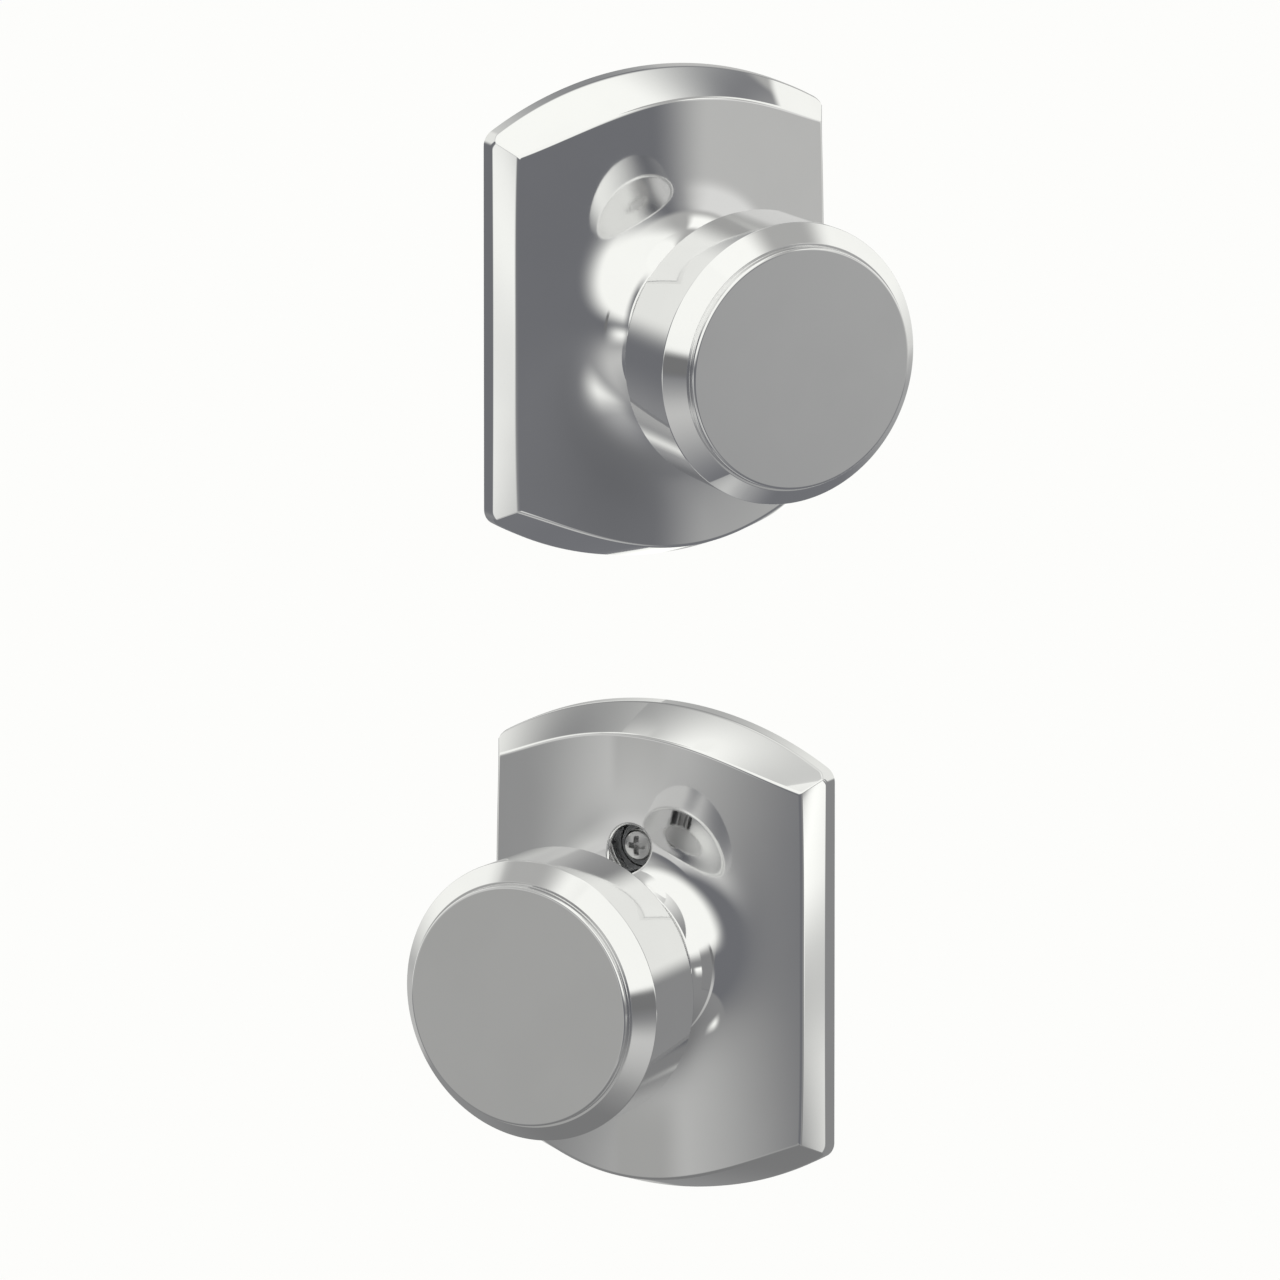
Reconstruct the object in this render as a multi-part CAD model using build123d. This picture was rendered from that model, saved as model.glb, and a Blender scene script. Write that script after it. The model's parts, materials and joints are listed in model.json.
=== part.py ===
from build123d import *
from math import sin, cos, asin, degrees, radians, sqrt, pi
import os

# Passage knob set: two sprung knobs on arched roses, one for each side of a door.
# The halves lie apart, one above the other, as they do before they go on the door.
# Row frame: millimetres, +Z up. The inside half has its knob axis along Y and its front towards -Y,
# and the origin is where that axis crosses its door face.
# Each piece is drawn in the frame of its own half: x to the right seen from the front,
# y up, z out of the door, with z = 0 on the door face.

# Where the two halves lie
outside_lift = 115.3
outside_turn = 58.0
turning_line_depth = 4.0

# Rose outline, seen from the front
rose_width = 66.7
rose_height = 88.0
rose_corner_height = 69.1
rose_corner_radius = 3.0
rose_wall = 1.5

# Rose section: straight edge, bevel, and a face crowned about the vertical
rose_edge_depth = 3.0
bevel_width = 3.0
bevel_corner_drop = 2.64
bevel_rise = 5.2
bevel_arch_width = 3.6
face_crest = 14.0
face_side_bow = 0.65

# Flared collar round the knob's neck
flare_radius = 15.0
flare_foot_radius = 26.0
collar_height = 18.3
collar_bore_radius = 14.2

# Knob, a turned shell closed by a back with the neck drawn out of it
knob_projection = 55.4
knob_face_radius = 21.7
knob_face_edge = 0.5
knob_face_step = 1.5
knob_land_radius = 22.2
knob_radius = 25.3
knob_chamfer_rise = 3.45
knob_back_radius = 24.8
knob_back_height = 36.0
knob_rim_round = 0.8
knob_wall = 1.0
knob_lip_width = 1.9
neck_clearance = 0.4
neck_wall = 1.0
neck_root_round = 3.0

# Sleeve, the turning tube that carries the knob
sleeve_radius = 7.9
sleeve_bore_radius = 6.3
sleeve_front = 33.0
sleeve_back = -3.5
sleeve_flange_radius = 13.6
sleeve_flange_thickness = 1.5
running_clearance = 0.05

# Hub inside the knob
hub_radius = 9.6
hub_front = 44.0
hub_flange_thickness = 1.5
hub_foot_thickness = 2.4

# Mounting plate and bearing bush
plate_back = 1.2
plate_thickness = 1.5
plate_clearance = 0.3
bush_radius = 9.7
bush_flange_radius = 13.4
bush_flange_thickness = 1.2
bush_front = 8.5

# Spring cage and its stops
cage_radius = 16.4
cage_wall = 1.0
cage_front = 8.4
cage_mouth_radius = 14.0
knob_turn = 50.0
stop_ear_radius = 15.2
stop_ear_width = 3.6
stop_tab_width = 2.2
stop_gap = 0.4

# Return spring
spring_wire = 1.2
spring_mean_radius = 11.5
spring_turns = 2.25
spring_pitch = 1.27
spring_hook_length = 6.0
coil_chords = 16

# Retaining ring and thrust washer on the door side
ring_thickness = 1.0
ring_groove_radius = 7.2
ring_radius = 9.5
ring_gap_angle = 50.0
washer_radius = 12.2
washer_thickness = 0.65

# Driver and square spindle
spindle_across = 7.94
spindle_reach = 50.0
spindle_chamfer = 0.8
driver_front = 12.0
driver_clearance = 0.05
spindle_pin_radius = 1.0
spindle_pin_height = -2.0

# Knob catch, pressed in through a hole under the neck
catch_height = 24.0
catch_radius = 2.5
catch_bore_clearance = 0.1
catch_tip_radius_out = 9.4
catch_flange_radius = 3.2
catch_flange_thickness = 0.9
catch_spring_wire = 0.5
catch_spring_radius = 2.0
catch_spring_turns = 5
tool_hole_radius = 1.6

# Screws of the inside half and posts of the outside half
fixing_offset = 20.0
screw_radius = 1.75
screw_neck_radius = 1.55
screw_thread_front = 0.8
screw_head_radius = 2.9
screw_head_height = 2.4
screw_reach = 28.0
screw_slot_width = 0.9
screw_slot_depth = 1.5
recess_radius = 4.1
recess_floor = 10.3
recess_wall = 1.4
screw_clearance = 0.35
post_radius = 3.2
post_reach = 40.0
post_shoulder_radius = 4.6
post_shoulder_thickness = 1.2
post_spigot_radius = 2.5
post_head_radius = 3.1
post_head_thickness = 0.7
post_bore_radius = 1.6
post_bore_depth = 28.0

# Pegs cast on the rose and peened over behind the mounting plate
peg_x = 22.0
peg_y = 24.0
peg_radius = 1.5
peg_boss_radius = 2.6
peg_head_radius = 2.3
peg_head_thickness = 0.9
peg_clearance = 0.1

# Sizes that follow from the ones above
plate_front = plate_back + plate_thickness
neck_radius = collar_bore_radius - neck_clearance
neck_bore_radius = neck_radius - neck_wall
bush_bore_radius = sleeve_radius + running_clearance
sleeve_flange_back = bush_front + running_clearance
sleeve_flange_front = sleeve_flange_back + sleeve_flange_thickness
knob_step_height = knob_projection - knob_face_step
knob_edge_height = knob_step_height - knob_chamfer_rise
knob_back_plate_height = knob_back_height + knob_wall
washer_front = plate_back - running_clearance
washer_back = washer_front - washer_thickness
ring_back = washer_back - ring_thickness
cage_bore_radius = cage_radius - cage_wall


def tube(outer, inner, bottom, top):
    """Plain round tube between two heights."""
    ring = Circle(outer) - Circle(inner)
    return Pos(0, 0, bottom) * extrude(ring, top - bottom)


def rod(radius, bottom, top, x=0.0, y=0.0):
    """Round bar along z between two heights."""
    return Pos(x, y, bottom) * extrude(Circle(radius), top - bottom)


def arched_outline(half_width, corner, apex, side_middle, height):
    """Face with bowed sides and arched ends, four edges, at the given height."""
    top = ThreePointArc((half_width, corner), (0, apex), (-half_width, corner))
    bottom = ThreePointArc((-half_width, -corner), (0, -apex), (half_width, -corner))
    if side_middle == half_width:
        left = Line((-half_width, corner), (-half_width, -corner))
        right = Line((half_width, -corner), (half_width, corner))
    else:
        left = ThreePointArc((-half_width, corner), (-side_middle, 0), (-half_width, -corner))
        right = ThreePointArc((half_width, -corner), (side_middle, 0), (half_width, corner))
    return Pos(0, 0, height) * make_face([top, left, bottom, right])


def rose_blank(inset):
    """Bevelled, crowned rose without its collar; a positive inset gives the hollow behind it."""
    half_width = rose_width / 2 - inset
    corner = rose_corner_height / 2 - inset
    apex = rose_height / 2 - inset
    crest = face_crest - inset
    edge = rose_edge_depth - 0.3 * inset
    face_half_width = half_width - bevel_width
    face_edge = rose_edge_depth + bevel_rise - inset

    # The bevel is drawn on past the crest, so that the crown can cut it to its edge
    cut_level = crest + rose_wall
    side_reach = (cut_level - edge) / (face_edge - edge)
    arch_reach = (cut_level - edge) / (crest - edge)
    base = arched_outline(half_width, corner, apex, half_width, edge)
    upper = arched_outline(
        half_width - bevel_width * side_reach,
        corner - bevel_corner_drop * side_reach,
        apex - bevel_arch_width * arch_reach,
        half_width - (bevel_width - face_side_bow) * side_reach,
        cut_level,
    )
    bevelled = loft([base, upper], ruled=True)
    wall = extrude(arched_outline(half_width, corner, apex, half_width, 0), edge)

    drop = crest - face_edge
    crown_radius = (face_half_width**2 + drop**2) / (2 * drop)
    crown = Pos(0, 0, crest - crown_radius) * Rot(90, 0, 0) * Cylinder(crown_radius, rose_height)
    return (bevelled + wall) & crown


def rose_with_flare(inset):
    """Rose blank with the neck faired into it by one large fillet, cut off level with the collar."""
    neck = flare_foot_radius - flare_radius - inset
    blank = rose_blank(inset) + rod(neck, 0.5 * face_crest, collar_height + flare_radius)
    joint = blank.edges().filter_by(GeomType.BSPLINE).filter_by(
        lambda edge: abs(edge.center(CenterOf.BOUNDING_BOX).X) < neck / 2
        and abs(edge.center(CenterOf.BOUNDING_BOX).Y) < neck / 2
        and edge.bounding_box().size.X < 2.1 * neck
    )
    flared = fillet(joint, flare_radius + inset)
    keep = extrude(Rectangle(rose_width, rose_height), collar_height)
    return flared & keep


def rounded_outline():
    """Prism with the rose's rounded corners, taller than the rose."""
    face = arched_outline(rose_width / 2, rose_corner_height / 2, rose_height / 2, rose_width / 2, 0)
    return extrude(fillet(face.vertices(), rose_corner_radius), collar_height)


def rose(with_recesses):
    """Hollow rose with its collar, the peened pegs and, on the inside half, two screw recesses."""
    solid = rose_with_flare(0.0) & rounded_outline()
    solid -= rose_with_flare(rose_wall)
    for x in (-peg_x, peg_x):
        for y in (-peg_y, peg_y):
            ceiling = face_crest - rose_wall
            boss = rod(peg_boss_radius, plate_front, ceiling, x, y) & rose_blank(rose_wall / 2)
            peg = rod(peg_radius, plate_back, plate_front, x, y)
            head = rod(peg_head_radius, plate_back - peg_head_thickness, plate_back, x, y)
            head = chamfer(head.edges().group_by(Axis.Z)[0], peg_head_thickness / 2)
            solid += boss + peg + head
    if with_recesses:
        for y in (-fixing_offset, fixing_offset):
            bottom = recess_floor - rose_wall
            boss = rod(recess_radius + recess_wall, bottom, collar_height, 0, y)
            solid += boss & rose_with_flare(0.0)
            solid -= rod(recess_radius, recess_floor, collar_height + 1, 0, y)
            solid -= rod(screw_radius + screw_clearance, 0, recess_floor + 1, 0, y)
    return solid - rod(collar_bore_radius, 0, collar_height + 1)


def mounting_plate(fixing_radius):
    """Flat stamped plate that closes the rose and carries the bush, the cage and the fixings."""
    inset = rose_wall + plate_clearance
    half_width = rose_width / 2 - inset
    face = arched_outline(half_width, rose_corner_height / 2 - inset, rose_height / 2 - inset, half_width, 0)
    face = fillet(face.vertices(), rose_corner_radius)
    face -= Circle(bush_radius)
    for y in (-fixing_offset, fixing_offset):
        face -= Pos(0, y) * Circle(fixing_radius)
    for x in (-peg_x, peg_x):
        for y in (-peg_y, peg_y):
            face -= Pos(x, y) * Circle(peg_radius + peg_clearance)
    return Pos(0, 0, plate_back) * extrude(face, plate_thickness)


def bearing_bush():
    """Turned bush in the middle of the plate, in which the sleeve turns."""
    barrel = tube(bush_radius, bush_bore_radius, plate_back, bush_front)
    flange = tube(bush_flange_radius, bush_bore_radius, plate_front, plate_front + bush_flange_thickness)
    return barrel + flange


def sector(radius, half_angle, bottom, top):
    """Wedge about the x axis, used to cut rings to an arc."""
    far = 2 * radius
    tip = (far * cos(radians(half_angle)), far * sin(radians(half_angle)))
    face = make_face(Polyline((0, 0), (tip[0], -tip[1]), (far * 1.2, 0), (tip[0], tip[1]), close=True))
    return Pos(0, 0, bottom) * extrude(face, top - bottom)


def spring_cage():
    """Cup round the return spring, with a slot for its hook and two stops for the sleeve's ear."""
    rim = tube(cage_radius, cage_bore_radius, plate_front, cage_front)
    front = tube(cage_radius, cage_mouth_radius, cage_front - cage_wall, cage_front)
    cup = rim + front
    slot = Box(2 * cage_wall + 1, 2 * spring_wire, 1.6 * spring_wire)
    cup -= Pos(-cage_radius, 0, spring_start_height()) * slot
    ear_angle = degrees(asin(stop_ear_width / 2 / cage_mouth_radius))
    tab_angle = degrees(asin((stop_tab_width / 2 + stop_gap) / cage_mouth_radius))
    stop_top = sleeve_flange_front
    tab = Box(cage_radius - cage_mouth_radius, stop_tab_width, stop_top - cage_front)
    middle = (cage_radius + cage_mouth_radius) / 2
    for side in (-1, 1):
        angle = side * (knob_turn + ear_angle + tab_angle)
        cup += Rot(0, 0, angle) * Pos(middle, 0, (stop_top + cage_front) / 2) * tab
    return cup


def spring_start_height():
    """Height of the wire's middle where the return spring's first coil begins."""
    return plate_front + bush_flange_thickness + 0.1 + spring_wire / 2


def wire_coil(mean_radius, wire, pitch, turns):
    """Coil about z drawn in short straight chords, with eight flats round the wire."""
    steps = round(turns * coil_chords)
    points = []
    for step in range(steps + 1):
        angle = 2 * pi * step / coil_chords
        points.append((mean_radius * cos(angle), mean_radius * sin(angle), pitch * step / coil_chords))
    start = Plane(origin=points[0], z_dir=Vector(points[1]) - Vector(points[0]))
    return sweep(start * RegularPolygon(wire / 2, 8), Polyline(points), transition=Transition.RIGHT)


def return_spring():
    """Torsion spring: one hook through the cage's slot, the other end up into the sleeve's flange."""
    start = spring_start_height()
    top = start + spring_turns * spring_pitch
    wire_radius = spring_wire / 2
    coil = Rot(0, 0, 180) * Pos(0, 0, start) * wire_coil(
        spring_mean_radius, spring_wire, spring_pitch, spring_turns
    )
    hook = Rot(0, -90, 0) * extrude(Circle(wire_radius), spring_hook_length)
    hook = Pos(-spring_mean_radius, 0, start) * (hook + Sphere(wire_radius))
    tail = rod(wire_radius, top, sleeve_flange_front - 0.3) + Pos(0, 0, top) * Sphere(wire_radius)
    end_angle = 180 + 360 * spring_turns
    return coil + hook + Rot(0, 0, end_angle) * Pos(spring_mean_radius, 0, 0) * tail


def sleeve(pinned):
    """Turning tube with the flange that the spring drives and the ear that meets the stops."""
    body = tube(sleeve_radius, sleeve_bore_radius, sleeve_back, sleeve_front)
    body += tube(sleeve_flange_radius, sleeve_bore_radius, sleeve_flange_back, sleeve_flange_front)
    ear = Box(stop_ear_radius - sleeve_radius, stop_ear_width, sleeve_flange_thickness)
    body += Pos((stop_ear_radius + sleeve_radius) / 2, 0, (sleeve_flange_back + sleeve_flange_front) / 2) * ear
    end_angle = 180 + 360 * spring_turns
    eye = rod(spring_wire / 2 + 0.15, sleeve_flange_back - 1, sleeve_flange_front + 1, spring_mean_radius)
    body -= Rot(0, 0, end_angle) * eye
    body -= tube(sleeve_radius + 1, ring_groove_radius, ring_back, washer_back)
    body -= Pos(0, 0, catch_height) * Rot(90, 0, 0) * rod(catch_radius + catch_bore_clearance, 0, 2 * sleeve_radius)
    if pinned:
        body -= spindle_pin_hole()
    return body


def spindle_pin_hole():
    """Cross hole for the pin that holds the spindle."""
    return Pos(0, 0, spindle_pin_height) * Rot(0, 90, 0) * Cylinder(spindle_pin_radius, 3 * sleeve_radius)


def driver(pinned):
    """Round plug in the sleeve with the square socket for the spindle."""
    plug = rod(sleeve_bore_radius - driver_clearance / 2, sleeve_back, driver_front)
    across = spindle_across + 2 * driver_clearance
    plug -= Pos(0, 0, sleeve_back) * extrude(Rectangle(across, across), driver_front - sleeve_back)
    if pinned:
        plug -= spindle_pin_hole()
    return plug


def spindle():
    """Square bar that reaches through the door to the other knob."""
    length = driver_front + spindle_reach
    bar = Pos(0, 0, -spindle_reach) * extrude(Rectangle(spindle_across, spindle_across), length)
    bar = chamfer(bar.edges().group_by(Axis.Z)[0], spindle_chamfer)
    return bar - spindle_pin_hole()


def spindle_pin():
    """Pin across the sleeve, the driver and the spindle."""
    return Pos(0, 0, spindle_pin_height) * Rot(0, 90, 0) * Cylinder(spindle_pin_radius - 0.02, 2 * sleeve_radius)


def thrust_washer():
    """Flat washer between the plate and the retaining ring."""
    return tube(washer_radius, sleeve_radius + 0.1, washer_back, washer_front)


def retaining_ring():
    """Open ring snapped into the sleeve's groove."""
    ring = tube(ring_radius, ring_groove_radius, ring_back, washer_back)
    return ring - sector(ring_radius, ring_gap_angle / 2, ring_back, washer_back)


def knob_shell():
    """Turned front of the knob: raised disc, step, chamfer, side and the lip rolled in behind."""
    step = knob_step_height
    face_edge = (knob_face_radius - knob_face_edge, knob_projection)
    step_corner = (knob_face_radius, knob_projection - knob_face_edge)
    crease = (knob_face_radius, step)
    land = (knob_land_radius, step)
    outer_edge = (knob_radius, knob_edge_height)
    rim = (knob_back_radius, knob_back_height + knob_rim_round)
    rim_end = (knob_back_radius - knob_rim_round, knob_back_height)
    lip = (knob_back_radius - knob_lip_width, knob_back_height)
    lip_inside = (knob_back_radius - knob_lip_width, knob_back_plate_height)
    bore_back = (knob_back_radius - knob_wall, knob_back_plate_height)
    bore_front = (knob_radius - knob_wall, knob_edge_height - 0.4 * knob_wall)
    inner_land = (knob_land_radius - 0.4 * knob_wall, step - knob_wall)
    face_inside = (knob_face_radius - knob_wall, step - knob_wall)
    inner_crease = (knob_face_radius - knob_wall, knob_projection - knob_wall)
    centre_inside = (0, knob_projection - knob_wall)
    centre = (0, knob_projection)

    def at(point):
        return (point[0], 0, point[1])

    turn = sin(radians(45))
    face_round = (face_edge[0] + knob_face_edge * turn, 0, step_corner[1] + knob_face_edge * turn)
    rim_round = (rim_end[0] + knob_rim_round * turn, 0, rim[1] - knob_rim_round * turn)
    outline = [
        Line(at(centre), at(face_edge)),
        ThreePointArc(at(face_edge), face_round, at(step_corner)),
        Line(at(step_corner), at(crease)),
        Line(at(crease), at(land)),
        Line(at(land), at(outer_edge)),
        Line(at(outer_edge), at(rim)),
        ThreePointArc(at(rim), rim_round, at(rim_end)),
        Polyline([at(p) for p in (rim_end, lip, lip_inside, bore_back, bore_front, inner_land)]),
        Polyline([at(p) for p in (inner_land, face_inside, inner_crease, centre_inside, centre)]),
    ]
    return revolve(make_face(outline), Axis.Z)


def knob_back():
    """Back of the knob with its neck, drawn in one piece, and the tool hole under the neck."""
    disc_radius = knob_back_radius - knob_wall - 0.05
    back = knob_back_plate_height
    round_over = neck_root_round

    def at(radius, height):
        return (radius, 0, height)

    turn = round_over * (1 - sin(radians(45)))
    inner_round = round_over + neck_wall
    inner_turn = inner_round * (1 - sin(radians(45)))
    outline = [
        Line(at(neck_bore_radius, sleeve_flange_front), at(neck_radius, sleeve_flange_front)),
        Line(at(neck_radius, sleeve_flange_front), at(neck_radius, back - round_over)),
        ThreePointArc(
            at(neck_radius, back - round_over),
            at(neck_radius + turn, back - turn),
            at(neck_radius + round_over, back),
        ),
        Line(at(neck_radius + round_over, back), at(disc_radius, back)),
        Line(at(disc_radius, back), at(disc_radius, back + neck_wall)),
        Line(at(disc_radius, back + neck_wall), at(neck_bore_radius + inner_round, back + neck_wall)),
        ThreePointArc(
            at(neck_bore_radius + inner_round, back + neck_wall),
            at(neck_bore_radius + inner_turn, back + neck_wall - inner_turn),
            at(neck_bore_radius, back + neck_wall - inner_round),
        ),
        Line(at(neck_bore_radius, back + neck_wall - inner_round), at(neck_bore_radius, sleeve_flange_front)),
    ]
    solid = revolve(make_face(outline), Axis.Z)
    return solid - Pos(0, 0, catch_height) * Rot(90, 0, 0) * rod(tool_hole_radius, 0, 2 * neck_radius)


def knob_hub():
    """Hub that joins the knob to the sleeve, with the hole that the catch snaps into."""
    bore = sleeve_radius + running_clearance
    seat = knob_back_plate_height + neck_wall
    hub = tube(hub_radius, bore, sleeve_flange_front, hub_front)
    hub += tube(neck_bore_radius - 0.05, bore, sleeve_flange_front, sleeve_flange_front + hub_foot_thickness)
    hub += tube(knob_face_radius - 2, bore, seat, seat + hub_flange_thickness)
    return hub - Pos(0, 0, catch_height) * Rot(90, 0, 0) * rod(catch_radius + catch_bore_clearance, 0, neck_radius)


def catch_flange_face():
    """Distance below the axis of the catch flange's outer face, just inside the sleeve's bore."""
    return sqrt(sleeve_bore_radius**2 - catch_flange_radius**2) - 0.1


def knob_catch():
    """Button that locks the knob on the sleeve; it points down and is drawn along z first."""
    outer = catch_flange_face()
    button = rod(catch_radius, outer, catch_tip_radius_out)
    button = chamfer(button.edges().group_by(Axis.Z)[-1], 0.5)
    button += rod(catch_flange_radius, outer - catch_flange_thickness, outer)
    return Pos(0, 0, catch_height) * Rot(90, 0, 0) * button


def catch_spring():
    """Small compression spring across the sleeve's bore, behind the catch."""
    below = catch_flange_face() - catch_flange_thickness - 0.02
    above = sqrt(sleeve_bore_radius**2 - (catch_spring_radius + catch_spring_wire / 2) ** 2) - 0.05
    rise = below + above - catch_spring_wire
    coil = wire_coil(catch_spring_radius, catch_spring_wire, rise / catch_spring_turns, catch_spring_turns)
    coil = Pos(0, 0, -above + catch_spring_wire / 2) * coil
    return Pos(0, 0, catch_height) * Rot(90, 0, 0) * coil


def screw(side):
    """Machine screw with a domed head, a cross slot and a thin neck; its thread is left plain."""
    shank = rod(screw_radius, -screw_reach, screw_thread_front)
    shank = chamfer(shank.edges().group_by(Axis.Z)[0], 0.5)
    shank += rod(screw_neck_radius, screw_thread_front, recess_floor)
    head = rod(screw_head_radius, recess_floor, recess_floor + screw_head_height)
    head = fillet(head.edges().group_by(Axis.Z)[-1], 0.45 * screw_head_height)
    slot_middle = recess_floor + screw_head_height - screw_slot_depth / 2
    for angle in (45, 135):
        slot = Box(1.3 * screw_head_radius, screw_slot_width, screw_slot_depth)
        head -= Pos(0, 0, slot_middle) * Rot(0, 0, angle) * slot
    return Pos(0, side * fixing_offset, 0) * (shank + head)


def post(side):
    """Tapped post riveted into the outside plate."""
    body = rod(post_radius, -post_reach, plate_back)
    body = chamfer(body.edges().group_by(Axis.Z)[0], 0.6)
    body += rod(post_shoulder_radius, plate_back - post_shoulder_thickness, plate_back)
    body += rod(post_spigot_radius, plate_back, plate_front)
    body += rod(post_head_radius, plate_front, plate_front + post_head_thickness)
    body -= rod(post_bore_radius, -post_reach, -post_reach + post_bore_depth)
    return Pos(0, side * fixing_offset, 0) * body


def half_pieces(side):
    """Pieces that both halves have, by name, in the frame of the half."""
    outside = side == "outside"
    fixing_radius = post_spigot_radius if outside else screw_radius + screw_clearance
    return {
        "rose": rose(with_recesses=not outside),
        "mounting_plate": mounting_plate(fixing_radius),
        "bearing_bush": bearing_bush(),
        "spring_cage": spring_cage(),
        "return_spring": return_spring(),
        "sleeve": sleeve(pinned=outside),
        "driver": driver(pinned=outside),
        "thrust_washer": thrust_washer(),
        "retaining_ring": retaining_ring(),
        "knob_shell": knob_shell(),
        "knob_back": knob_back(),
        "knob_hub": knob_hub(),
        "knob_catch": knob_catch(),
        "catch_spring": catch_spring(),
    }


def half_place(side):
    """Frame of a half in the row: both knob axes cross one upright line in front of the door face."""
    turn = radians(outside_turn) if side == "outside" else 0.0
    lift = outside_lift if side == "outside" else 0.0
    front = Vector(sin(turn), -cos(turn), 0)
    shift = Vector(0, -turning_line_depth, lift) - front * turning_line_depth
    return Plane(origin=shift, x_dir=(cos(turn), sin(turn), 0), z_dir=front)


pieces = {}
for side in ("outside", "inside"):
    own = half_pieces(side)
    if side == "outside":
        own["spindle"] = spindle()
        own["spindle_pin"] = spindle_pin()
        own["post_upper"] = post(1)
        own["post_lower"] = post(-1)
    else:
        own["screw_upper"] = screw(1)
        own["screw_lower"] = screw(-1)
    for name, solid in own.items():
        pieces[f"{side}_{name}"] = half_place(side).location * solid

os.makedirs("parts", exist_ok=True)
for name, solid in pieces.items():
    export_step(solid, f"parts/{name}.step")
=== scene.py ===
# %% [markdown]
# Passage knob set, dressed and lit
#
# The set has two halves for the two sides of a door. Each half has a tall arched rose, a round knob
# and, behind them, the spring cage, plates and driver that turn the latch. The CAD frame holds every
# one of these parts at its real size, so this lesson adds what CAD leaves out: metal finishes, fine
# rounded edges, screw threads, and a photographer's light.

# %% Load the frame
import json
from math import asin, atan2, copysign, cos, exp, pi, radians, sin, sqrt, tan

import bmesh
import bpy
from mathutils import Matrix, Vector
from mathutils.geometry import delaunay_2d_cdt


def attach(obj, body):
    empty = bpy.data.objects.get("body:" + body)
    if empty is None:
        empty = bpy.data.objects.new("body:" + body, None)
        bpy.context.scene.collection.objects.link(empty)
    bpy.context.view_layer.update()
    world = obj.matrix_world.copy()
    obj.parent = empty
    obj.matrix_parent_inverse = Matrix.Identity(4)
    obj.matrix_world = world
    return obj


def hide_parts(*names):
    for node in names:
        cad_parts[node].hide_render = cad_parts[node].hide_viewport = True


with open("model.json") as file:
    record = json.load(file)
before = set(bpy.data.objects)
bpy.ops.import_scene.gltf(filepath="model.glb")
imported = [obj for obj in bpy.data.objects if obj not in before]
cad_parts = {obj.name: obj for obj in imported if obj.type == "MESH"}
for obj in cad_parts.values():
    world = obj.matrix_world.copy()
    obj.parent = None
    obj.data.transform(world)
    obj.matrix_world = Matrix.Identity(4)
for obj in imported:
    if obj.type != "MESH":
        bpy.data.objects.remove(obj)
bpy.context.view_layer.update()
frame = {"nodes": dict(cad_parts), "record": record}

scene = bpy.context.scene
print("nodes in the frame:", len(frame["nodes"]))

# %% [markdown]
# Where the two halves stand
#
# The inside half sits on the origin with its front to -Y. The outside half floats above it, turned
# about the upright axis. Both are described here by one small recipe, its origin and two directions,
# so a piece can be made once in the half's own sizes and placed on either side.

# %% The two halves
MM = 0.001
UP = Vector((0.0, 0.0, 1.0))
DOWN = -UP
OUTSIDE_LIFT = 115.3 * MM
OUTSIDE_TURN = radians(58.0)
TURN_PIVOT_DEPTH = 4.0 * MM


def half_place(side):
    """Matrix from a half's own axes (x right, y up, z out of the door) to the frame."""
    turn = OUTSIDE_TURN if side == "outside" else 0.0
    lift = OUTSIDE_LIFT if side == "outside" else 0.0
    right = Vector((cos(turn), sin(turn), 0.0))
    front = Vector((sin(turn), -cos(turn), 0.0))
    origin = Vector((0.0, -TURN_PIVOT_DEPTH, lift)) - front * TURN_PIVOT_DEPTH
    axes = Matrix((right, UP, front)).transposed().to_4x4()
    return Matrix.Translation(origin) @ axes


SIDES = ("outside", "inside")
PLACE = {side: half_place(side) for side in SIDES}
for side in SIDES:
    print(side, "half stands at", [round(v, 4) for v in PLACE[side].translation])

# %% [markdown]
# The camera
#
# The photograph looks down a little, from half way between the two fronts, through a long lens. A long
# lens far away keeps the upright lines parallel. The numbers come from matching the outlines of both
# halves at once. The frame is square, so one scale, picture points for each millimetre, gives the lens.

# %% Camera
CAMERA_DISTANCE = 6.0
CAMERA_AZIMUTH = radians(29.085)
CAMERA_HEIGHT_ANGLE = radians(13.395)
PICTURE_SIDE = 1280
POINTS_PER_MM = 5.646
SENSOR = 36.0
LOOK_AT = Vector((0.0, -0.004, 0.05875))
SLIDE_RIGHT = 3.487 * MM
SLIDE_UP = 2.953 * MM


def put(name, data):
    """Stand a new object in the scene."""
    made = bpy.data.objects.new(name, data)
    scene.collection.objects.link(made)
    return made


toward_camera = Vector((
    sin(CAMERA_AZIMUTH) * cos(CAMERA_HEIGHT_ANGLE),
    -cos(CAMERA_AZIMUTH) * cos(CAMERA_HEIGHT_ANGLE),
    sin(CAMERA_HEIGHT_ANGLE),
))
camera_right = Vector((cos(CAMERA_AZIMUTH), sin(CAMERA_AZIMUTH), 0.0))
camera_up = toward_camera.cross(camera_right)
camera_spot = (
    LOOK_AT + toward_camera * CAMERA_DISTANCE - camera_right * SLIDE_RIGHT - camera_up * SLIDE_UP
)

camera_data = bpy.data.cameras.new("long_lens")
camera_data.sensor_width = SENSOR
camera_data.lens = POINTS_PER_MM * CAMERA_DISTANCE / MM / PICTURE_SIDE * SENSOR
camera_data.clip_end = 100.0
camera = put("long_lens", camera_data)
camera.matrix_world = Matrix.Translation(camera_spot) @ Matrix(
    (camera_right, camera_up, toward_camera)
).transposed().to_4x4()
bpy.context.scene.camera = camera
scene.view_settings.view_transform = "Standard"
print("lens", round(camera_data.lens, 1), "mm")

# %% [markdown]
# Writing shader maths in Python
#
# Every finish below is a node tree. Adding Math nodes by hand hides the idea behind the wiring, so one
# small class wraps a socket. Sums on it, such as 1 - mask, add the Math nodes, and its node method adds
# any other kind of node: the settings go in first, then the values or links of the sockets.

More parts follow.
